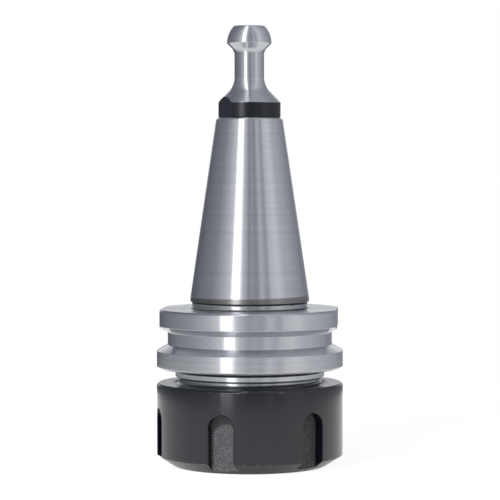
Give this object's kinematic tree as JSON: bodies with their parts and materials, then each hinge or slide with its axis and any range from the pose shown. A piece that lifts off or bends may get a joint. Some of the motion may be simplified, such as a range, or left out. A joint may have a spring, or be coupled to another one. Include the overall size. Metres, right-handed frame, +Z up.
{
  "type": "collet chuck holder",
  "caption": "Steep-taper collet chuck holder with pull stud, V-grooved gripper flange, slit collet and black slotted clamping nut.",
  "frame": {"origin": "middle of the clamping nut's front face, on which the holder stands", "axes": "+Z up the spindle axis, from the tool side to the pull stud; -Y is the side seen in front"},
  "size_m": [0.05, 0.05, 0.1177],
  "materials": {
    "ground_steel": "fine ground, bright",
    "stud_steel": "fine turned, collar and flats blackened",
    "collet_steel": "spring steel, ground",
    "black_oxide": "black oxide, satin"
  },
  "bodies": {
    "holder": {"holder_body": "ground_steel", "pull_stud": "stud_steel"},
    "collet": {"collet": "collet_steel"},
    "nut": {"clamping_nut": "black_oxide"}
  },
  "joints": [
    {"name": "collet_travel", "type": "slide", "parent": "holder", "child": "collet", "axis": [0, 0, -1], "range_m": [0, 0.012]},
    {"name": "nut_turn", "type": "hinge", "parent": "collet", "child": "nut", "pos_m": [0, 0, 0], "axis": [0, 0, -1], "range_deg": [0, 2880]}
  ],
  "couplings": [
    {"joint": "collet_travel", "follows": "nut_turn", "m_per_rad": 0.00023873}
  ]
}
